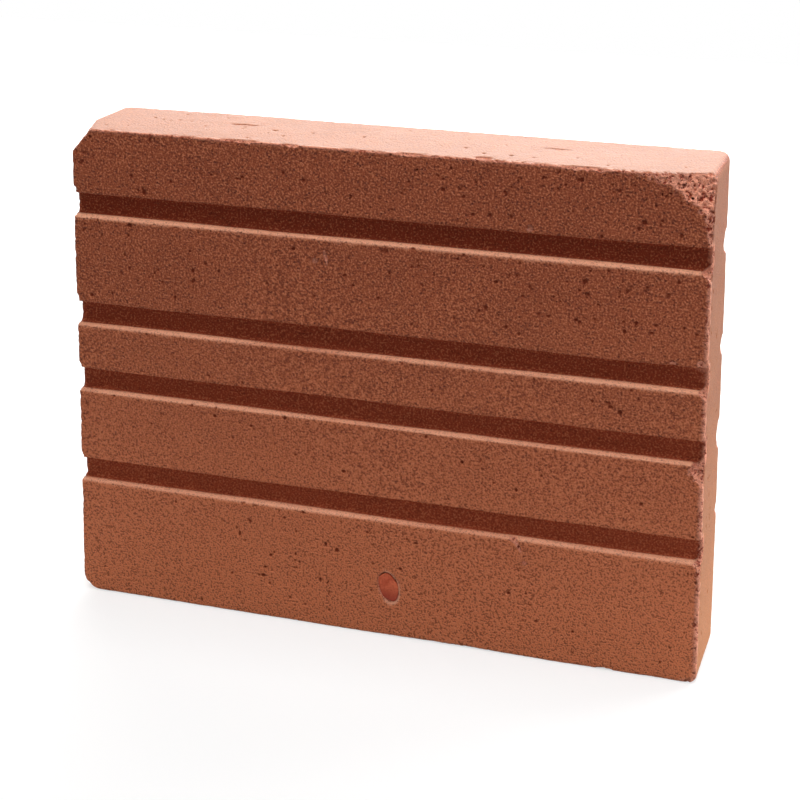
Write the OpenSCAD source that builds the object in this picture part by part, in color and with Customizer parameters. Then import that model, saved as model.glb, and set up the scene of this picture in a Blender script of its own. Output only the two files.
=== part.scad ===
// Grooved clay block: one pressed and fired block that stands on its long narrow face.
// X runs along the block, -Y is the front face, +Z is up. The origin is the centre of the base.

/* [Block] */
// Length of the block at its base, along X
block_length = 230; // [200:1:260]
// Height of the block as it stands, along Z
block_height = 176; // [170:1:200]
// Thickness from the front face to the back face, along Y
block_thickness = 41; // [36:1:60]
// How much each end leans in from the base to the top
end_draft = 4; // [0.5:0.1:6]

/* [Edges and corners] */
// Radius of the two upright edges at the front
front_edge_radius = 2; // [1:0.5:4]
// Radius of the two upright edges at the back
back_edge_radius = 8; // [3:0.5:10]
// Radius of the long edges along the top and the base
long_edge_radius = 1.2; // [0.5:0.1:2]
// Radius of the lower left corner of the faces
lower_left_radius = 7; // [2:0.5:9]
// Radius of the lower right corner of the faces
lower_right_radius = 3; // [1:0.5:6]
// Radius of the two upper corners of the faces
upper_corner_radius = 3; // [1:0.5:6]

/* [Broken corners] */
// Break across the upper left front corner: how far it runs along, in and down
left_break = [8, 23, 9]; // [2:0.5:25]
// Main break across the upper right front corner, in the same order
right_break = [18, 8, 16]; // [2:0.5:20]
// Shallow break beside it, along the top edge
right_top_break = [30, 3, 7]; // [2:0.5:30]
// Shallow break below it, down the upright edge
right_side_break = [4.5, 4, 34]; // [2:0.5:36]

/* [Front grooves] */
// Height of each front groove's middle above the base
front_groove_heights = [49, 84, 109, 149]; // [20:1:160]
// Width of a front groove, measured up the face
front_groove_width = 7.5; // [5:0.5:9]
// Depth of a front groove
front_groove_depth = 4.5; // [3:0.1:5]
// Radius inside a front groove
front_groove_radius = 2; // [1:0.1:2.4]

/* [Back grooves] */
// Height of each back groove's middle above the base
back_groove_heights = [53, 77, 109, 146]; // [20:1:160]
// Width of a back groove, measured up the face
back_groove_width = 10; // [6:0.5:11]
// Depth of a back groove
back_groove_depth = 6.5; // [3:0.1:9]
// Radius inside a back groove
back_groove_radius = 2.8; // [1:0.1:2.9]

/* [Nodule] */
// Length of the hard nodule that is bedded in the front face
nodule_length = 12; // [8:0.5:14]
// Width of the nodule
nodule_width = 7.5; // [5:0.5:9]
// How far the nodule's middle lies behind the front face
nodule_bed = 1; // [0.5:0.1:2]
// How far the nodule's outer side lies below the front face
nodule_recess = 0.5; // [0.2:0.1:1]
// Lean of the nodule to the left, in degrees
nodule_lean = 17; // [0:1:45]

/* [Top slits] */
// Length of the two fine slits in the top face
slit_length = 10; // [4:1:14]
// Width of a slit
slit_width = 0.8; // [0.5:0.1:1.5]
// Depth of a slit
slit_depth = 1.2; // [0.5:0.1:3]

/* [Hidden] */
$fn = 48;
over = 1;                                     // how far cutters run past what they cut
half_length = block_length / 2;
front_y = -block_thickness / 2;
back_y = block_thickness / 2;
nodule_place = [5, front_y + nodule_bed, 19]; // middle of the nodule
nodule_bands = 12;                            // bands that make up the nodule's oval
slit_places = [-56.5, 55.5];                  // middle of each slit along X
slit_y = 3.5;                                 // both slits lie a little behind the middle

// A filled outline with round corners: corners is a list of [x, y, radius], anticlockwise.
// The straight part is a polygon through the tangent points, and each corner gets its circle.
// The tangent points are exact at square corners and close at the slightly drafted ones.
module rounded_outline(corners) {
    count = len(corners);
    tangents = [for (i = [0 : count - 1])
        let (here = corners[i],
             before = corners[(i + count - 1) % count],
             after = corners[(i + 1) % count])
        each [toward(here, before, here[2]), toward(here, after, here[2])]];
    polygon(tangents);
    for (i = [0 : count - 1]) {
        here = corners[i];
        before = toward(here, corners[(i + count - 1) % count], here[2]);
        after = toward(here, corners[(i + 1) % count], here[2]);
        intersection() {
            translate(before + after - [here[0], here[1]]) circle(r = here[2]);
            polygon([before, [here[0], here[1]], after, before + after - [here[0], here[1]]]);
        }
    }
}

// The point at a given distance from one corner on the way to another.
function toward(from, to, distance) =
    let (way = [to[0] - from[0], to[1] - from[1]])
    [from[0], from[1]] + way / norm(way) * distance;

// Outline seen from above: crisp front edges and well rounded back edges.
module plan_outline() {
    rounded_outline([
        [-half_length, front_y, front_edge_radius],
        [half_length, front_y, front_edge_radius],
        [half_length, back_y, back_edge_radius],
        [-half_length, back_y, back_edge_radius]
    ]);
}

// Outline seen from the front: the ends lean in towards the top.
module face_outline() {
    polygon([
        [-half_length, lower_left_radius],
        [-half_length + lower_left_radius, 0],
        [half_length - lower_right_radius, 0],
        [half_length, lower_right_radius],
        [half_length - end_draft, block_height - upper_corner_radius],
        [half_length - end_draft - upper_corner_radius, block_height],
        [-half_length + end_draft + upper_corner_radius, block_height],
        [-half_length + end_draft, block_height - upper_corner_radius]
    ]);
    translate([-half_length + lower_left_radius, lower_left_radius]) circle(r = lower_left_radius);
    translate([half_length - lower_right_radius, lower_right_radius]) circle(r = lower_right_radius);
    for (side = [-1, 1])
        translate([side * (half_length - end_draft - upper_corner_radius),
                   block_height - upper_corner_radius])
            circle(r = upper_corner_radius);
}

// Cross-section of a groove that opens towards -X, with its mouth on X = 0.
module groove_section(width, depth, radius) {
    translate([-over, -width / 2]) square([over + depth - radius, width]);
    translate([-over, -width / 2 + radius]) square([over + depth, width - 2 * radius]);
    for (side = [-1, 1])
        translate([depth - radius, side * (width / 2 - radius)]) circle(r = radius);
}

// Cross-section seen from the end: the rounded long edges and all the grooves.
module end_section() {
    difference() {
        rounded_outline([
            [front_y, 0, long_edge_radius],
            [back_y, 0, long_edge_radius],
            [back_y, block_height, long_edge_radius],
            [front_y, block_height, long_edge_radius]
        ]);
        for (height = front_groove_heights)
            translate([front_y, height])
                groove_section(front_groove_width, front_groove_depth, front_groove_radius);
        for (height = back_groove_heights)
            translate([back_y, height])
                rotate(180)
                    groove_section(back_groove_width, back_groove_depth, back_groove_radius);
    }
}

// A flat break that takes off the upper right front corner. It meets the three edges of the
// corner at the given distances: along the top, into the thickness, and down.
module corner_break(distances) {
    normal = [1 / distances[0], -1 / distances[1], 1 / distances[2]];
    steepness = norm(normal);
    turn = atan2(normal[1], normal[0]);
    rise = asin(normal[2] / steepness);
    size = 4 * max(distances);
    translate([half_length - end_draft, front_y, block_height])
        rotate([0, 0, turn])
            rotate([0, -rise, 0])
                translate([-1 / steepness, -size / 2, -size / 2])
                    cube(size);
}

// The nodule's oval body of revolution, lying in the front face with its long axis upright.
module nodule_shape() {
    profile = [for (band = [0 : nodule_bands])
        let (angle = -90 + 180 * band / nodule_bands)
        [nodule_width / 2 * max(0, cos(angle)), nodule_length / 2 * sin(angle)]];
    translate(nodule_place)
        rotate([0, -nodule_lean, 0])
            rotate_extrude()
                polygon(profile);
}

module block() {
    color("#a4593e")
    difference() {
        intersection() {
            linear_extrude(block_height) plan_outline();
            translate([0, back_y + over, 0])
                rotate([90, 0, 0])
                    linear_extrude(block_thickness + 2 * over) face_outline();
            translate([-half_length - over, 0, 0])
                rotate([90, 0, 90])
                    linear_extrude(block_length + 2 * over) end_section();
        }
        for (distances = [right_break, right_top_break, right_side_break])
            corner_break(distances);
        mirror([1, 0, 0]) corner_break(left_break);
        nodule_shape();
        for (place = slit_places)
            translate([place - slit_length / 2, slit_y - slit_width / 2, block_height - slit_depth])
                cube([slit_length, slit_width, slit_depth + over]);
    }
}

module nodule() {
    color("#a8452c")
    intersection() {
        nodule_shape();
        translate([-half_length, front_y + nodule_recess, 0])
            cube([block_length, block_thickness, block_height]);
    }
}

block();
nodule();
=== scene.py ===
"""A fired clay block with grooves across both broad faces and a hard nodule bedded in its front.

The block is carved in one field: a value for each point of a fine grid, below zero inside the clay.
Shapes are cut with max(), and noise makes the wear. The field's zero surface becomes the mesh.
Lengths in the carving are in millimetres; Blender objects are in metres.
"""

import math

import bpy
import numpy as np
import openvdb
from mathutils import Matrix, Vector


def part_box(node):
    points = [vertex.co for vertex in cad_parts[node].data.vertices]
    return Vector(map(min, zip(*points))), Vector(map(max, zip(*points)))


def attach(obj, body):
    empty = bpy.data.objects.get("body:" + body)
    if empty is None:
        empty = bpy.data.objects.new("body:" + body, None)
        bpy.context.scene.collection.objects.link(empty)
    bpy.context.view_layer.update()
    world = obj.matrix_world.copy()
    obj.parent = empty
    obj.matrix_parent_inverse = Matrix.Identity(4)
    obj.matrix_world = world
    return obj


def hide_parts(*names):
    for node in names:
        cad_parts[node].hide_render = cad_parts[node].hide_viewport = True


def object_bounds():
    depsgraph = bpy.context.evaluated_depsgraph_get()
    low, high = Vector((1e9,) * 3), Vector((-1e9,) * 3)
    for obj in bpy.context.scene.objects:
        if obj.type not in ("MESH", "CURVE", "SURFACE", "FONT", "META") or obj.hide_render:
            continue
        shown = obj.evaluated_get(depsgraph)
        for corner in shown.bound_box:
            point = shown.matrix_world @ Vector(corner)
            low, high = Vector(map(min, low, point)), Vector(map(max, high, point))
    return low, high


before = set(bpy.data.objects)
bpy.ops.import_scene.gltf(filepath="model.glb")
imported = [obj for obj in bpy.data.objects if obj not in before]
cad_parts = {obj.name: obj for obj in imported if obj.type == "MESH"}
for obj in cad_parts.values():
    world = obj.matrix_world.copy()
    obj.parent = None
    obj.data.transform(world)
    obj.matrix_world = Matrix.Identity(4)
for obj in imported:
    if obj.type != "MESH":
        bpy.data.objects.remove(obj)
cad_low, cad_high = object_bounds()

MM = 0.001
SEED = 41
PITCH = 0.4  # spacing of the carving grid
MARGIN = 2.0  # empty grid round the block
BAND = 3.0  # the field is cut off this far from the surface
FACE_BUDGET = 420_000  # triangles kept after thinning
PORE_TRIES = 24000  # places tried for a pore; many are skipped

block_low, block_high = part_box("block")
LENGTH = (block_high.x - block_low.x) / MM
THICKNESS = (block_high.y - block_low.y) / MM
HEIGHT = block_high.z / MM
HALF = LENGTH / 2
FRONT = block_low.y / MM
BACK = block_high.y / MM

DRAFT = 4 / 230 * LENGTH  # each end leans in this much from base to top
LOWER_LEFT_RADIUS, LOWER_RIGHT_RADIUS, UPPER_RADIUS = 7.0, 3.0, 3.0  # corners of the broad faces
FRONT_ARRIS, BACK_ARRIS, BACK_END_RADIUS = 1.0, 1.2, 8.0  # edges round the broad faces

# Heights of the grooves, lowest first.
FRONT_GROOVES = [0.2784 * HEIGHT, 0.4773 * HEIGHT, 0.6193 * HEIGHT, 0.8466 * HEIGHT]
BACK_GROOVES = [0.3011 * HEIGHT, 0.4375 * HEIGHT, 0.6193 * HEIGHT, 0.8295 * HEIGHT]

# Breaks across the upper front corners: how far each runs along, in and down.
RIGHT_BREAKS = ((19, 8, 16.5), (31, 3.2, 7.5), (4.8, 4, 34))
LEFT_BREAKS = ((8.2, 23.0, 9.0),)

# How far the clay rises in a wedge at the right end of each front groove, lowest first.
GROOVE_END_RISES = (2.8, 3.2, 3.2, 3.8)
# Wear at the right end of each back groove: how deep, how tall, and how far above its middle.
BACK_GROOVE_ENDS = ((0.7, 4.7, -2.0), (1.3, 8.2, 2.0), (1.15, 5.6, 2.0), (1.4, 6.2, 1.2))

NODULE_LEAN = 17.0  # to the left, in degrees
NODULE_WIDTH, NODULE_LENGTH = 7.0, 11.4
NODULE_DEPTH = 2.8  # from its widest ring to its back
NODULE_DIP = 0.12  # its widest ring lies this far behind the front of the CAD's nodule


# ---------------------------------------------------------------- carving grid


def axis(low, high):
    count = int(math.ceil((high - low + 2 * MARGIN) / PITCH)) + 1
    return (low - MARGIN + PITCH * np.arange(count)).astype(np.float32)


XS = axis(-HALF, HALF)
YS = axis(FRONT, BACK)
ZS = axis(0, HEIGHT)
X = XS[:, None, None]
Y = YS[None, :, None]
Z = ZS[None, None, :]
rng = np.random.default_rng(SEED)


def spline_weights(points, spacing):
    """A matrix that turns evenly spaced random values into a smooth curve at the given points."""
    at = (points - points[0]) / spacing
    base = np.floor(at).astype(int)
    t = at - base
    weights = np.zeros((len(points), base[-1] + 4), np.float32)
    rows = np.arange(len(points))
    parts = (
        (1 - t) ** 3 / 6,
        (3 * t**3 - 6 * t**2 + 4) / 6,
        (-3 * t**3 + 3 * t**2 + 3 * t + 1) / 6,
        t**3 / 6,
    )
    for step, part in enumerate(parts):
        weights[rows, base + step] = part
    return weights


def cloud(size, stretch=(1, 1, 1)):
    """Smooth 3-D noise over the whole grid, mostly between -1 and 1, with lumps of about that size."""
    wx, wy, wz = (
        spline_weights(points, size / 2 * s)
        for points, s in zip((XS, YS, ZS), stretch)
    )
    values = rng.uniform(-1, 1, (wx.shape[1], wy.shape[1], wz.shape[1])).astype(np.float32)
    values = np.tensordot(wy, values, (1, 1))  # y, x, z
    values = np.tensordot(wx, values, (1, 1))  # x, y, z
    return np.tensordot(values, wz, (2, 1)) * np.float32(3.2)


def round_meet(a, b, radius):
    """Where two half-spaces meet: their common part, with the edge rounded to that radius."""
    corner = np.hypot(np.maximum(a + radius, 0), np.maximum(b + radius, 0))
    return np.minimum(-radius, np.maximum(a, b)) + corner


def smooth_step(value, low, high):
    t = np.clip((value - low) / (high - low), 0, 1)
    return t * t * (3 - 2 * t)


# ---------------------------------------------------------------- the moulded shape


def groove_cut(face, depth_in, heights, above, below, depth, splay, inner, lip):
    """Carves the grooves into a face field over (y, z).

    Returns the face, and how far each point is from a groove's wall and from a groove's lower lip.

    above and below say how far the groove reaches from its height. Its lower wall slopes down by
    splay[0] over the first splay[1] of depth, so that it shows as a bright lip.
    """
    walls = np.full(np.broadcast_shapes(face.shape, depth_in.shape), 1e3, np.float32)
    lips = walls.copy()
    z = ZS[None, :]
    drop, reach = splay
    for height in heights:
        flat = height - below - z
        slope = (flat - drop * (1 - depth_in / reach)) / math.hypot(1, drop / reach)
        sides = np.maximum(z - height - above, np.minimum(flat, slope))
        hollow = round_meet(sides, depth_in - depth, inner)
        face = round_meet(face, -hollow, lip)
        walls = np.minimum(walls, hollow)
        lips = np.minimum(lips, np.abs(slope) + np.clip(depth_in - reach, 0, None))
    return face, walls, lips


def moulded_fields():
    """The new block's parts: outline and ends over (x, z), front, back, walls and lips over (y, z)."""
    x, z = XS[:, None], ZS[None, :]
    lean = DRAFT * z / HEIGHT
    left, right = -x - HALF + lean, x - HALF + lean
    under, over = -z + 0 * x, z - HEIGHT + 0 * x
    outline = np.maximum(
        np.maximum(
            round_meet(left, under, LOWER_LEFT_RADIUS), round_meet(right, under, LOWER_RIGHT_RADIUS)
        ),
        np.maximum(round_meet(left, over, UPPER_RADIUS), round_meet(right, over, UPPER_RADIUS)),
    )
    ends = np.maximum(left, right)

    y = YS[:, None]
    front, front_walls, front_lips = groove_cut(
        FRONT - y + 0 * z, y - FRONT, FRONT_GROOVES, 3.7, 3.95, 4.1, (0.65, 2.0), 1.5, 0.3
    )
    back, back_walls, back_lips = groove_cut(
        y - BACK + 0 * z, BACK - y, BACK_GROOVES, 5.0, 5.0, 6.5, (0.8, 2.0), 3.4, 1.0
    )
    return outline, ends, front, back, (front_walls, back_walls), np.minimum(front_lips, back_lips)


def moulded_block(outline, ends, front, back):
    """The skin of the new block over the whole grid, with its edges rounded."""
    solid = np.maximum(
        round_meet(outline[:, None, :], front[None], FRONT_ARRIS),
        round_meet(outline[:, None, :], back[None], BACK_ARRIS),
    )
    flat_back = (YS - BACK)[None, :, None]
    return np.maximum(solid, round_meet(ends[:, None, :], flat_back, BACK_END_RADIUS))


# ---------------------------------------------------------------- wear, chips and pores


def window(centre, reach):
    """Slices of the grid round a point, and the offsets from it inside them."""
    spans = []
    for points, c, r in zip((XS, YS, ZS), centre, reach):
        first = int(np.searchsorted(points, c - r))
        last = int(np.searchsorted(points, c + r))
        spans.append(slice(first, max(last, first + 1)))
    dx = XS[spans[0]][:, None, None] - centre[0]
    dy = YS[spans[1]][None, :, None] - centre[1]
    dz = ZS[spans[2]][None, None, :] - centre[2]
    return tuple(spans), dx, dy, dz


def bite(field, centre, radii, gravel, rough, turn=0.0):
    """Takes an oval chip out of the field. turn leans it in the plane of the face, in degrees."""
    reach = [max(radii) + 1.5] * 3
    at, dx, dy, dz = window(centre, reach)
    c, s = math.cos(math.radians(turn)), math.sin(math.radians(turn))
    u, w = dx * c + dz * s, dz * c - dx * s
    length = np.sqrt((u / radii[0]) ** 2 + (dy / radii[1]) ** 2 + (w / radii[2]) ** 2)
    away = (length - 1) * min(radii)
    field[at] = np.maximum(field[at], -(away + rough * gravel[at]))


def break_corner(field, gravel, corner, breaks, rough):
    """Breaks a front corner off along planes. Each break says how far it runs along, in and down."""
    towards = 1 if corner[0] > 0 else -1
    at, dx, dy, dz = window(corner, (32, 18, 42))
    for along, deep, down in breaks:
        steep = math.sqrt(along**-2 + deep**-2 + down**-2)
        plane = (towards * dx / along - dy / deep + dz / down + 1) / steep
        field[at] = np.maximum(field[at], plane + rough * gravel[at])


def wear_edges(field, outline, front, back, gravel, crumbs):
    """Crumbles the arrises round both broad faces, most of all at the right of the front.

    Returns how crumbly the skin is: 1 on the arrises that have lost their fired face.
    """
    right = smooth_step(X, HALF - 8, HALF - 3)
    left = smooth_step(-X, HALF - 8, HALF - 3)
    top = smooth_step(Z, HEIGHT - 6, HEIGHT - 2)
    amount = 0.12 + 0.9 * right + 0.3 * left + 0.6 * top
    grit = np.clip(gravel + 0.4 * crumbs, 0, None)
    width = 1.5 + 0.9 * right
    near = np.clip(1 + np.minimum(outline[:, None, :], front[None]) / width, 0, 1)
    crumbly = smooth_step(near, 0.15, 0.6) * np.clip(0.15 * left + right + 0.7 * top, 0, 1)
    field += near * amount * grit
    near = np.clip(1 + np.minimum(outline[:, None, :], back[None]) / 1.5, 0, 1)
    field += near * 0.35 * grit
    return crumbly


def chips():
    """Chips along the arrises: (centre, radii, roughness, lean)."""
    lips = [z - 3.75 for z in FRONT_GROOVES]
    right = [HALF - DRAFT * z / HEIGHT for z in lips]
    made = [
        ((right[0], FRONT, lips[0] - 0.2), (3.4, 3.4, 2.6), 0.5, -40),
        ((right[1] - 0.5, FRONT - 0.4, lips[1] - 2.2), (5.0, 3.4, 5.2), 0.6, -50),
        ((right[2], FRONT, lips[2] - 0.2), (4.0, 3.4, 2.8), 0.5, -35),
        ((right[3], FRONT, lips[3] - 0.2), (4.4, 3.8, 3.2), 0.5, -35),
        ((0.155 * LENGTH, FRONT + 2.4, HEIGHT), (3.2, 1.1, 1.1), 0.3, 0),
        ((-0.30 * LENGTH, FRONT, HEIGHT), (3.0, 1.4, 1.2), 0.5, 0),
        ((-0.21 * LENGTH, FRONT, HEIGHT), (5.0, 1.3, 1.2), 0.5, 0),
        ((-0.13 * LENGTH, FRONT, HEIGHT), (3.5, 1.4, 1.3), 0.5, 0),
        ((0.05 * LENGTH, FRONT, HEIGHT), (4.5, 1.2, 1.1), 0.4, 0),
        ((0.30 * LENGTH, FRONT, HEIGHT), (7.0, 1.6, 1.3), 0.5, 0),
    ]
    for z in FRONT_GROOVES:
        end = -HALF + DRAFT * z / HEIGHT
        made.append(((end, FRONT + 0.5, z + 4.4), (1.5, 3.0, 2.2), 0.3, 0))
    for middle, (deep, tall, up) in zip(BACK_GROOVES, BACK_GROOVE_ENDS):
        z = middle + up
        end = HALF - DRAFT * z / HEIGHT
        made.append(((end + 3.0 - deep, BACK - 6.0, z), (3.0, 10.0, tall), 0.15, 0))
    for _ in range(40):
        side = rng.integers(4)
        size = rng.uniform(0.7, 1.6)
        broad = FRONT if rng.random() < 0.4 else BACK
        if side == 0:
            place = (rng.uniform(-0.95, 0.95) * HALF, broad, HEIGHT)
            radii = (size * rng.uniform(1, 2.5), size * 0.8, size * 0.7)
        elif side == 1:
            place = (rng.uniform(-0.95, 0.95) * HALF, broad, 0)
            radii = (size * rng.uniform(1, 2.5), size * 0.8, size * 0.6)
        else:
            z = rng.uniform(0.05, 0.95) * HEIGHT
            end = (HALF - DRAFT * z / HEIGHT) * (1 if side == 2 else -1)
            place = (end, broad, z)
            radii = (size * 0.7, size * 0.8, size * rng.uniform(1, 2.2))
        made.append((place, radii, 0.45, 0))
    return made


def face_point():
    """A random place on the skin: the point, and which axis and side it is on."""
    areas = (HEIGHT * THICKNESS, LENGTH * HEIGHT, LENGTH * THICKNESS)
    across = rng.choice(3, p=np.array(areas) / sum(areas))
    side = rng.choice((-1, 1))
    point = np.array([rng.uniform(-HALF, HALF), rng.uniform(FRONT, BACK), rng.uniform(0, HEIGHT)])
    if across == 0:
        point[0] = side * (HALF - DRAFT * point[2] / HEIGHT)
    elif across == 1:
        point[1] = FRONT if side < 0 else BACK
    else:
        point[2] = 0 if side < 0 else HEIGHT
    return point, across, side


def in_groove(point, across, side):
    if across != 1:
        return False
    heights, half_width = (FRONT_GROOVES, 4.6) if side < 0 else (BACK_GROOVES, 5.8)
    return any(abs(point[2] - z) < half_width for z in heights)


def prick(field, point, radius, across):
    """One irregular hole of one to three overlapping parts, spread across the face."""
    for _ in range(rng.integers(1, 4)):
        stretch = rng.uniform(0.7, 1.4, 3)
        at, dx, dy, dz = window(point, [radius * 1.5 + 0.6] * 3)
        length = np.sqrt((dx / stretch[0]) ** 2 + (dy / stretch[1]) ** 2 + (dz / stretch[2]) ** 2)
        field[at] = np.maximum(field[at], 0.8 * (radius - length))
        step = rng.normal(0, 0.9 * radius, 3)
        step[across] = 0
        point = point + step
        radius *= rng.uniform(0.6, 0.95)


def prick_pores(field, count):
    """Small irregular holes all over the skin, thickest toward the top of the broad faces."""
    for _ in range(count):
        point, across, side = face_point()
        radius = min(0.85, 0.29 * math.exp(abs(rng.normal(0, 0.45))))
        keep = 0.35 + 0.65 * point[2] / HEIGHT if across == 1 else 0.2
        if in_groove(point, across, side) or (across == 2 and side > 0):
            keep = 0.08
        if rng.random() < keep:
            point[across] += side * 0.25 * radius
            prick(field, point, radius, across)


def prick_along(field, start, end, count, spread):
    """Crumbles a stretch of arris with pits of about a grain's size."""
    start, end = np.array(start), np.array(end)
    for _ in range(count):
        point = start + (end - start) * rng.random() + rng.normal(0, 1, 3) * spread
        prick(field, point, rng.uniform(0.3, 0.52), int(rng.integers(3)))


def close_grooves(field, outline):
    """Raises the lower lip of each front groove in a small wedge at the right end."""
    for z, rise in zip(FRONT_GROOVES, GROOVE_END_RISES):
        lip = z - 4.2
        end = HALF - DRAFT * lip / HEIGHT
        at, dx, dy, dz = window((end, FRONT, lip), (rise + 2, 6, rise + 3))
        slope = (dz - dx - rise) * 0.7
        wedge = np.maximum(np.maximum(outline[at[0], None, at[2]], -dy), np.maximum(slope, dy - 5))
        field[at] = np.minimum(field[at], wedge)


def bed_nodule(field, gravel):
    """The oval pocket that holds the nodule."""
    low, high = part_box("nodule")
    centre = tuple((low + high) / 2 / MM)
    across, along = NODULE_WIDTH / 2, NODULE_LENGTH / 2
    pocket = (centre[0], FRONT + 0.4, centre[2])
    bite(field, pocket, (across + 0.1, 3.0, along + 0.1), gravel, 0.05, NODULE_LEAN)
    rim = (centre[0] + 0.3, FRONT - 0.15, centre[2] - 0.1)
    bite(field, rim, (across + 0.9, 0.9, along + 0.9), gravel, 0.12, NODULE_LEAN)


def painted_rim_highlight(points):
    """How strongly each point of the thin rim at the right and the lower left of the nodule takes a
    painted highlight.
    """
    low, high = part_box("nodule")
    centre = (low + high) / 2 / MM
    c, s = math.cos(math.radians(NODULE_LEAN)), math.sin(math.radians(NODULE_LEAN))
    dx, dz = points[:, 0] - centre.x, points[:, 2] - centre.z
    u, w = (dx * c + dz * s) / (NODULE_WIDTH / 2), (dz * c - dx * s) / (NODULE_LENGTH / 2)
    ring = np.hypot(u, w)
    band = smooth_step(ring, 0.98, 1.04) * (1 - smooth_step(ring, 1.12, 1.24))
    side = np.maximum(smooth_step(u, 0.0, 0.5), smooth_step(-w, 0.6, 0.9))
    return band * side * (points[:, 1] < FRONT + 2)


def cut_marks(field, gravel):
    """Marks at known places: two fine slits on top, pits in the front, and a crack below a groove."""
    for place in (-0.2457, 0.2414):
        bite(field, (place * LENGTH, 3.5, HEIGHT), (5.0, 0.45, 1.3), gravel, 0.05)
    pits = (
        (0.227, 0.877, 1.1, 1.2),
        (-0.078, 0.7815, 0.7, 2.6),
        (-0.095, 0.775, 1.1, 0.9),
        (-0.170, 0.480, 0.8, 1.7),
        (0.4387, 0.6440, 1.5, 1.3),
        (0.478, 0.6480, 1.3, 1.9),
        (0.2334, 0.2032, 0.9, 0.9),
    )
    for along, up, wide, tall in pits:
        centre = (along * LENGTH, FRONT, up * HEIGHT)
        bite(field, centre, (wide, 1.2, tall), gravel, 0.15, 12)
    bite(field, (0.2150 * LENGTH, FRONT, 0.2560 * HEIGHT), (1.4, 2.0, 2.8), gravel, 0.15, 25)
    bite(field, (0.2215 * LENGTH, FRONT, 0.2440 * HEIGHT), (0.7, 1.5, 4.0), gravel, 0.1, 28)


def carve_block():
    """The finished field, the moulded skin, the skin after chips, and the masks for the material.

    The masks are how crumbly and grooved the skin is, where the lips take a painted highlight, the
    gravel noise, and the dust and painted sheen on the ends and top.
    """
    outline, ends, front, back, walls, lips = moulded_fields()
    skin = moulded_block(outline, ends, front, back)
    close_grooves(skin, outline)
    grooved = np.maximum(
        smooth_step(-np.abs(walls[0]), -1.6, -0.6) * smooth_step(YS - FRONT, 1.6, 2.6)[:, None],
        smooth_step(-np.abs(walls[1]), -1.6, -0.6) * smooth_step(BACK - YS, 1.6, 2.6)[:, None],
    )[None]
    waves = 0.13 * (1 + cloud(50)) + 0.035 * (1 + cloud(11)) * (1 - 0.5 * grooved)
    skin += np.clip(waves, 0, None)
    lip = smooth_step(-lips, -0.8, -0.25)[None]
    gravel = 0.7 * cloud(1.3) + 0.5 * cloud(3.0)
    crumbs = cloud(4.5)
    over = ZS[None, :] - HEIGHT
    field = skin + 0.04 * np.clip(1 + gravel, 0, None) * (1 - 0.85 * grooved)
    crumbly = wear_edges(field, outline, front, back, gravel, crumbs)
    for place, radii, rough, lean in chips():
        bite(field, place, radii, gravel, rough, lean)
    upper_right = (HALF - DRAFT, FRONT, HEIGHT)
    upper_left = (-HALF + DRAFT, FRONT, HEIGHT)
    break_corner(field, gravel, upper_right, RIGHT_BREAKS, 0.8)
    break_corner(field, gravel, upper_left, LEFT_BREAKS, 0.25)
    bed_nodule(field, gravel)
    cut_marks(field, gravel)
    chipped = field.copy()
    prick_pores(field, PORE_TRIES)
    foot, head = HALF, HALF - DRAFT
    prick_along(field, (foot, FRONT, 2), (head, FRONT, HEIGHT - 16), 260, (0.9, 0.4, 0))
    break_start = (head - 14, FRONT + 2, HEIGHT - 2)
    break_end = (head - 2, FRONT + 2, HEIGHT - 14)
    prick_along(field, break_start, break_end, 90, (3, 1.2, 3))
    prick_along(field, (-head + 8, FRONT, HEIGHT), (head - 20, FRONT, HEIGHT), 170, (0, 0.4, 0.4))
    prick_along(field, (-foot, FRONT, 6), (-head, FRONT, HEIGHT - 10), 40, (0.3, 0.4, 0))
    # painted sheen with some real dust: a band under the top and end faces
    dust_and_painted_sheen = smooth_step(np.maximum(ends, over)[:, None, :], -0.9, -0.3)
    return field, skin, chipped, crumbly, grooved, lip, gravel, dust_and_painted_sheen


# ---------------------------------------------------------------- mesh


def sample(values, points):
    """Values of a grid at points given in millimetres, blended between the grid points."""
    result = np.zeros(len(points), np.float32)
    corner, share = [], []
    for axis_points, column, count in zip((XS, YS, ZS), points.T, values.shape):
        place = np.clip((column - axis_points[0]) / PITCH, 0, max(count - 1.001, 0))
        corner.append(place.astype(int))
        share.append(place - corner[-1])
    for steps in np.ndindex(2, 2, 2):
        weight = 1.0
        index = []
        for step, base, part, count in zip(steps, corner, share, values.shape):
            weight = weight * (part if step else 1 - part)
            index.append(np.minimum(base + step, count - 1))
        result += weight * values[tuple(index)]
    return result


def skin_mesh(name, field):
    """The zero surface of the field as a mesh, in metres."""
    grid = openvdb.FloatGrid(BAND)
    grid.copyFromArray(np.clip(field, -BAND, BAND).astype(np.float32))
    points, quads = grid.convertToQuads(0.0)
    points = points * PITCH + np.array([XS[0], YS[0], ZS[0]])
    mesh = bpy.data.meshes.new(name)
    mesh.vertices.add(len(points))
    mesh.vertices.foreach_set("co", (points * MM).astype(np.float32).ravel())
    mesh.loops.add(len(quads) * 4)
    mesh.loops.foreach_set("vertex_index", quads.astype(np.int32).ravel())
    mesh.polygons.add(len(quads))
    mesh.polygons.foreach_set("loop_start", np.arange(0, len(quads) * 4, 4, np.int32))
    mesh.update(calc_edges=True)
    mesh.validate()
    return mesh


def make_object(name, mesh):
    piece = bpy.data.objects.new(name, mesh)
    bpy.context.scene.collection.objects.link(piece)
    return piece


def bake_modifiers(piece):
    """Replaces the piece's mesh with the result of its modifiers."""
    depsgraph = bpy.context.evaluated_depsgraph_get()
    made = bpy.data.meshes.new_from_object(piece.evaluated_get(depsgraph))
    piece.modifiers.clear()
    old = piece.data
    piece.data = made
    bpy.data.meshes.remove(old)


def set_attribute(mesh, name, values):
    made = mesh.attributes.new(name, "FLOAT", "POINT")
    made.data.foreach_set("value", np.ascontiguousarray(values, np.float32))


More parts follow.
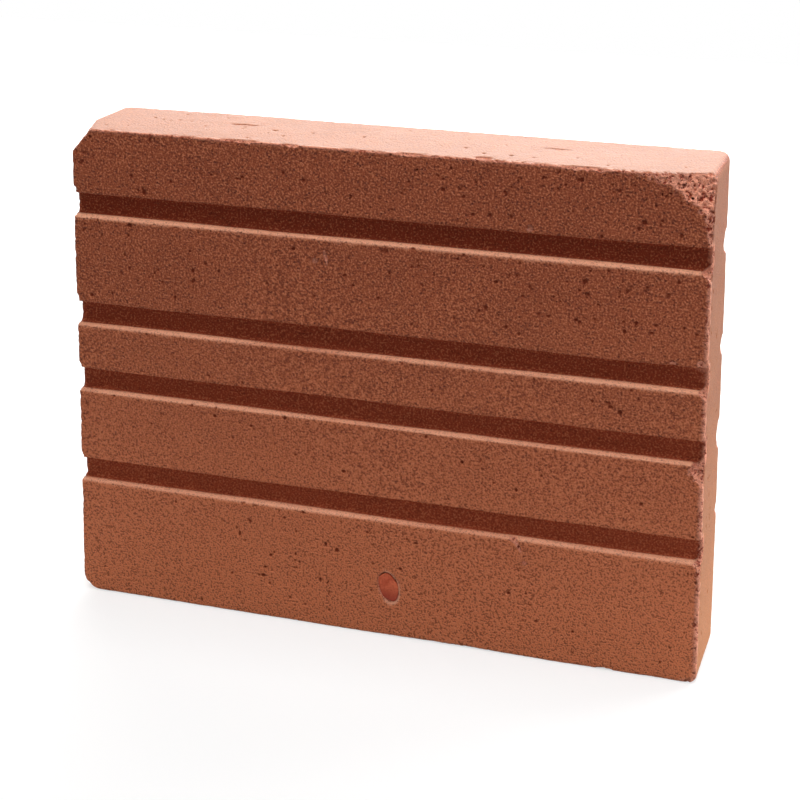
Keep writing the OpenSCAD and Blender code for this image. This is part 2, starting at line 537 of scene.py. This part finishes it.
def build_block():
    field, skin, chipped, crumbly, grooved, lip, gravel, dust_and_painted_sheen = carve_block()
    piece = make_object("clay_block", skin_mesh("clay_block", field))
    faces = 2 * len(piece.data.polygons)
    if faces > FACE_BUDGET:
        thin = piece.modifiers.new("thin", "DECIMATE")
        thin.ratio = FACE_BUDGET / faces
        bake_modifiers(piece)
    piece.data.validate()
    mesh = piece.data
    points = np.empty(len(mesh.vertices) * 3, np.float32)
    mesh.vertices.foreach_get("co", points)
    points = np.clip(points.reshape(-1, 3), block_low, block_high).astype(np.float32)
    mesh.vertices.foreach_set("co", points.ravel())
    mesh.update()
    points = points / MM
    before_pores = sample(chipped, points)
    # pore: how deep each point lies in a pore; the material darkens it as painted shade
    set_attribute(mesh, "pore", np.clip((sample(field, points) - before_pores) / 0.8, 0, 1))
    broken = np.clip((before_pores - sample(skin, points)) / 0.5 - 0.15, 0, 1)
    set_attribute(mesh, "broken", np.maximum(broken, sample(crumbly, points)))
    # hump: low in the hollows of the gravel noise, where the material paints shade
    set_attribute(mesh, "hump", np.clip(0.5 - 0.5 * sample(gravel, points), 0, 1))
    # the groove mask: the material also paints shade into these hollows
    set_attribute(mesh, "groove", sample(grooved, points))
    # lip mask: the lower lips of the grooves and the nodule's rim, which the material paints pale as a
    # painted highlight
    set_attribute(mesh, "lip", np.maximum(sample(lip, points), painted_rim_highlight(points)))
    normals = np.empty(len(mesh.vertices) * 3, np.float32)
    mesh.vertex_normals.foreach_get("vector", normals)
    normals = normals.reshape(-1, 3)
    # painted sheen with some real dust, on faces that turn up or to the ends
    turned = smooth_step(np.maximum(np.abs(normals[:, 0]), normals[:, 2]), 0.6, 0.9)
    set_attribute(mesh, "dust_and_painted_sheen", sample(dust_and_painted_sheen, points) * turned * (1 - broken))
    mesh.shade_smooth()
    return piece


# ---------------------------------------------------------------- materials


class Nodes:
    """A short way to write a node tree."""

    def __init__(self, name):
        self.material = bpy.data.materials.new(name)
        self.material.use_nodes = True
        self.tree = self.material.node_tree
        self.shader = self.tree.nodes["Principled BSDF"]

    def put(self, kind, inputs=None, **settings):
        node = self.tree.nodes.new(kind)
        for key, value in settings.items():
            setattr(node, key, value)
        for key, value in (inputs or {}).items():
            self.feed(node.inputs[key], value)
        return node

    def feed(self, socket, value):
        if isinstance(value, bpy.types.NodeSocket):
            self.tree.links.new(value, socket)
        else:
            socket.default_value = value

    def noise(self, size_mm, detail=2.0, rough=0.5, distortion=0.0):
        where = self.put("ShaderNodeTexCoord").outputs["Object"]
        return self.put(
            "ShaderNodeTexNoise",
            {
                "Vector": where,
                "Scale": 1 / (size_mm * MM),
                "Detail": detail,
                "Roughness": rough,
                "Distortion": distortion,
            },
        ).outputs["Fac"]

    def specks(self, size_mm, share, inner, outer):
        """Round spots: one in a share of the cells, fading from the inner to the outer radius."""
        where = self.put("ShaderNodeTexCoord").outputs["Object"]
        node = self.put("ShaderNodeTexVoronoi", {"Vector": where, "Scale": 1 / (size_mm * MM)})
        pick = self.put("ShaderNodeSeparateColor", {"Color": node.outputs["Color"]}).outputs[0]
        picked = self.maths("LESS_THAN", pick, share)
        spot = self.ramp(node.outputs["Distance"], outer, inner)
        return self.maths("MULTIPLY", picked, spot)

    def height(self):
        where = self.put("ShaderNodeTexCoord").outputs["Object"]
        return self.put("ShaderNodeSeparateXYZ", {"Vector": where}).outputs["Z"]

    def attribute(self, name):
        return self.put("ShaderNodeAttribute", attribute_name=name).outputs["Fac"]

    def ramp(self, value, low, high):
        """value taken from low..high to 0..1, smoothly."""
        return self.put(
            "ShaderNodeMapRange",
            {"Value": value, "From Min": low, "From Max": high},
            interpolation_type="SMOOTHSTEP",
        ).outputs["Result"]

    def maths(self, what, a, b=0.0):
        return self.put("ShaderNodeMath", {0: a, 1: b}, operation=what).outputs[0]

    def less(self, value, mask, share):
        """value, lowered by a share of itself where the mask is 1."""
        kept = self.maths("SUBTRACT", 1.0, self.maths("MULTIPLY", mask, share))
        return self.maths("MULTIPLY", value, kept)

    def mix(self, amount, a, b, how="MIX"):
        node = self.put("ShaderNodeMix", data_type="RGBA", blend_type=how)
        for name, value in (("Factor", amount), ("A", a), ("B", b)):
            socket = [s for s in node.inputs if s.name == name and s.enabled][0]
            self.feed(socket, value)
        return [s for s in node.outputs if s.enabled][0]

    def bump(self, height, distance_mm):
        inputs = {"Height": height, "Distance": distance_mm * MM, "Strength": 1.0}
        return self.put("ShaderNodeBump", inputs).outputs["Normal"]


def clay_material():
    n = Nodes("fired_clay")
    pore = n.attribute("pore")
    broken = n.attribute("broken")
    groove = n.attribute("groove")
    dust_and_painted_sheen = n.attribute("dust_and_painted_sheen")
    lip = n.attribute("lip")
    sandy = n.less(n.less(n.less(1.0, groove, 0.3), lip, 0.5), dust_and_painted_sheen, 0.7)
    cloudy = n.noise(22, 3)
    grain = n.noise(0.68, 1, 0.4)
    rubble = n.noise(0.9, 2, 0.6)
    low = n.maths("SUBTRACT", 1.0, n.maths("DIVIDE", n.height(), HEIGHT * MM))
    pits = n.less(n.maths("MULTIPLY", n.specks(1.4, 0.6, 0.14, 0.34), sandy), low, 0.6)

    clay = n.mix(n.ramp(cloudy, 0.3, 0.7), (0.34, 0.075, 0.028, 1), (0.38, 0.087, 0.033, 1))
    # paler towards the bottom of the block: partly painted bounce light from the floor, partly a paler
    # lower body; less of it where the painted sheen is
    rise = n.less(n.maths("MULTIPLY", low, low), dust_and_painted_sheen, 0.4)
    clay = n.mix(rise, clay, (0.84, 0.250, 0.105, 1))
    # painted shade in the grooves: a darker colour in the hollows, paler towards the bottom as painted
    # bounce light from the floor
    inside = n.mix(low, (0.24, 0.029, 0.009, 1), (0.46, 0.085, 0.032, 1))
    clay = n.mix(n.maths("MULTIPLY", groove, 0.9), clay, inside)
    # painted highlight: the lower lips of the grooves and the nodule's rim are painted pale
    clay = n.mix(lip, clay, (0.93, 0.44, 0.27, 1))
    # painted sheen with some real dust: the top and the ends are paler and less red
    clay = n.mix(dust_and_painted_sheen, clay, (0.94, 1.36, 1.36, 1), "MULTIPLY")
    # broken clay: random rubble tone, with painted shade in the gravel's hollows and painted light on
    # its humps
    hump = n.maths("MULTIPLY", n.attribute("hump"), 0.3)
    lump = n.maths("ADD", hump, n.maths("MULTIPLY", rubble, 0.7))
    crumb = n.mix(n.ramp(lump, 0.345, 0.475), (0.29, 0.033, 0.017, 1), (0.98, 0.41, 0.275, 1))
    clay = n.mix(n.maths("MULTIPLY", broken, 0.85), clay, crumb)
    dark = n.less(n.maths("MULTIPLY", n.ramp(grain, 0.50, 0.32), sandy), broken, 0.7)
    clay = n.mix(n.maths("MULTIPLY", dark, 0.65), clay, (0.15, 0.022, 0.007, 1))
    light = n.maths("MULTIPLY", n.ramp(grain, 0.52, 0.68), sandy)
    clay = n.mix(n.maths("MULTIPLY", light, 0.62), clay, (0.72, 0.240, 0.11, 1))
    # painted shade in the fine pits, which the bump makes into small hollows
    clay = n.mix(n.maths("MULTIPLY", pits, 0.8), clay, (0.17, 0.025, 0.009, 1))
    # painted shade in the pores: the deeper the pore, the darker
    hole = n.less(n.ramp(pore, 0.08, 0.56), broken, 0.4)
    clay = n.mix(n.maths("MULTIPLY", hole, 0.85), clay, (0.15, 0.019, 0.006, 1))
    n.feed(n.shader.inputs["Base Color"], clay)

    matt = n.maths("ADD", n.maths("MULTIPLY", groove, 0.3), n.maths("MULTIPLY", hole, 0.4))
    matt = n.maths("ADD", matt, n.maths("MULTIPLY", grain, 0.2))
    n.feed(n.shader.inputs["Roughness"], n.maths("ADD", matt, 0.52))
    n.shader.inputs["Specular IOR Level"].default_value = 0.3
    height = n.maths("MULTIPLY", n.maths("SUBTRACT", grain, n.maths("MULTIPLY", pits, 0.8)), sandy)
    height = n.maths("ADD", height, n.maths("MULTIPLY", n.maths("MULTIPLY", broken, rubble), 2.0))
    n.feed(n.shader.inputs["Normal"], n.bump(height, 0.6))
    return n.material


def nodule_material():
    n = Nodes("hard_nodule")
    streaks = n.noise(4.5, 3, 0.6, 0.8)
    mottle = n.noise(0.8, 2)
    red = n.mix(n.ramp(streaks, 0.35, 0.65), (0.58, 0.070, 0.019, 1), (0.80, 0.165, 0.062, 1))
    red = n.mix(n.maths("MULTIPLY", n.ramp(mottle, 0.5, 0.7), 0.5), red, (0.46, 0.050, 0.014, 1))
    # painted shade on the lower part of the nodule, where it curves under
    deep = n.maths("MULTIPLY", n.ramp(n.height(), 0.0205, 0.0145), 0.75)
    red = n.mix(deep, red, (0.42, 0.034, 0.010, 1))
    n.feed(n.shader.inputs["Base Color"], red)
    n.feed(n.shader.inputs["Roughness"], n.maths("ADD", 0.42, n.maths("MULTIPLY", mottle, 0.2)))
    n.feed(n.shader.inputs["Normal"], n.bump(mottle, 0.10))
    return n.material


def floor_material():
    """A pale floor that looks a little brighter to the camera than the light it throws back."""
    n = Nodes("pale_floor")
    n.feed(n.shader.inputs["Base Color"], (0.45, 0.45, 0.45, 1))
    n.feed(n.shader.inputs["Roughness"], 0.9)
    n.feed(n.shader.inputs["Specular IOR Level"], 0.1)
    seen = n.put("ShaderNodeLightPath").outputs["Is Camera Ray"]
    n.feed(n.shader.inputs["Emission Color"], (1.0, 1.0, 1.0, 1))
    n.feed(n.shader.inputs["Emission Strength"], n.maths("MULTIPLY", seen, 0.56))
    return n.material


# ---------------------------------------------------------------- nodule


def build_nodule():
    """A smooth oval pebble: a sphere of rings, stretched, slightly angular and flattened in front."""
    low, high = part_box("nodule")
    centre = (low + high) / 2
    rings, around = 40, 72
    points, faces = [], []
    lean = math.radians(NODULE_LEAN)
    for i in range(rings + 1):
        up = math.pi * i / rings
        for j in range(around):
            turn = 2 * math.pi * j / around
            facet = 0.96 + 0.03 * math.cos(5 * turn + 0.6) + 0.025 * math.cos(2 * turn + 0.9)
            u = math.sin(up) * math.cos(turn) * facet
            w = math.sin(up) * math.sin(turn) * facet
            v = math.cos(up)
            depth = v if v < 0 else 0.08 * v
            points.append((u, depth, w))
        if i:
            a, b = (i - 1) * around, i * around
            for j in range(around):
                k = (j + 1) % around
                faces.append((a + j, b + j, b + k, a + k))
    mesh = bpy.data.meshes.new("nodule_stone")
    placed = []
    for u, v, w in points:
        x = u * NODULE_WIDTH / 2
        z = w * NODULE_LENGTH / 2
        y = NODULE_DIP - v * NODULE_DEPTH
        rx = x * math.cos(lean) - z * math.sin(lean)
        rz = x * math.sin(lean) + z * math.cos(lean)
        placed.append((centre.x + rx * MM, low.y + y * MM, centre.z + rz * MM))
    mesh.from_pydata(placed, [], faces)
    mesh.update()
    piece = make_object("nodule_stone", mesh)
    mesh.shade_smooth()
    return piece


# ---------------------------------------------------------------- stage


def aim(back, up=Vector((0, 0, 1)), roll=0.0):
    """The rotation of a camera or lamp that looks along minus back."""
    right = up.cross(back).normalized()
    true_up = back.cross(right)
    turned = right * math.cos(roll) + true_up * math.sin(roll)
    return Matrix((turned, back.cross(turned), back)).transposed().to_4x4()


AZIMUTH, ELEVATION, ROLL = 17.57, 18.01, 0.46  # degrees
AWAY, TO_RIGHT, TO_TOP = 2.804, 0.0099, 0.0973  # the camera's place, in lengths of the block
LENS, SHIFT_UP = 82.4, -0.1


def place_camera():
    centre = (cad_low + cad_high) / 2
    length = LENGTH * MM
    azimuth, elevation, roll = (math.radians(angle) for angle in (AZIMUTH, ELEVATION, ROLL))
    back = Vector(
        (
            math.sin(azimuth) * math.cos(elevation),
            -math.cos(azimuth) * math.cos(elevation),
            math.sin(elevation),
        )
    )
    turn = aim(back, roll=roll)
    data = bpy.data.cameras.new("camera")
    data.lens = LENS
    data.sensor_width = 36
    data.shift_y = SHIFT_UP
    data.clip_start = 0.05
    camera = bpy.data.objects.new("camera", data)
    spot = centre + back * AWAY * length
    spot += turn.to_3x3() @ Vector((TO_RIGHT, TO_TOP, 0)) * length
    camera.matrix_world = Matrix.Translation(spot) @ turn
    bpy.context.scene.collection.objects.link(camera)
    bpy.context.scene.camera = camera


def add_lamp(name, spot, target, width, depth, power, colour=(1, 1, 1)):
    """A soft rectangular lamp that shines at a point."""
    data = bpy.data.lights.new(name, "AREA")
    data.shape = "RECTANGLE"
    data.size, data.size_y = width, depth
    data.energy = power
    data.color = colour
    lamp = bpy.data.objects.new(name, data)
    back = (spot - target).normalized()
    lamp.matrix_world = Matrix.Translation(spot) @ aim(back, up=Vector((0, 1, 0)))
    bpy.context.scene.collection.objects.link(lamp)
    return lamp


def lay_floor():
    place = (0, -0.1, 0)
    bpy.ops.mesh.primitive_grid_add(x_subdivisions=6, y_subdivisions=6, size=2.6, location=place)
    floor = bpy.context.object
    floor.name = "floor"
    floor.data.materials.append(floor_material())


def light_studio():
    """Soft lamps above, in front, beside and behind, and a white world that only the camera sees."""
    world = bpy.data.worlds.new("studio")
    world.use_nodes = True
    nodes, links = world.node_tree.nodes, world.node_tree.links
    seen = nodes.new("ShaderNodeLightPath").outputs["Is Camera Ray"]
    links.new(seen, nodes["Background"].inputs["Strength"])
    nodes["Background"].inputs["Color"].default_value = (1, 1, 1, 1)
    bpy.context.scene.world = world

    middle = (cad_low + cad_high) / 2
    add_lamp("above", Vector((0, -0.05, 1.25)), middle, 0.6, 0.6, 6.6)
    add_lamp("above_front", Vector((0, -0.45, 1.15)), middle, 0.6, 0.6, 5.2)
    add_lamp("front", Vector((0, -0.95, 1.0)), middle, 0.7, 0.5, 1.8)
    add_lamp("side", Vector((1.1, 0, 0.45)), middle, 0.6, 0.6, 3.6)
    add_lamp("side_back", Vector((0.8, 0.8, 0.5)), middle, 0.8, 0.6, 8)
    panel, panel_target = Vector((-0.3, 1.3, 0.55)), Vector((-0.1, 0, 0.15))
    add_lamp("panel", panel, panel_target, 2.4, 0.8, 56, (1.0, 1.0, 0.97))
    table_place, table_target = Vector((0, -0.13, 0.003)), Vector((0, -0.131, 1.0))
    table = add_lamp("table", table_place, table_target, 0.5, 0.15, 0.04)
    table.visible_camera = False
    view = bpy.context.scene.view_settings
    view.view_transform = "Standard"
    view.look = "None"


place_camera()
lay_floor()
light_studio()

block = build_block()
block.data.materials.append(clay_material())
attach(block, "root")
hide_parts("block")

nodule = build_nodule()
nodule.data.materials.append(nodule_material())
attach(nodule, "root")
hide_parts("nodule")
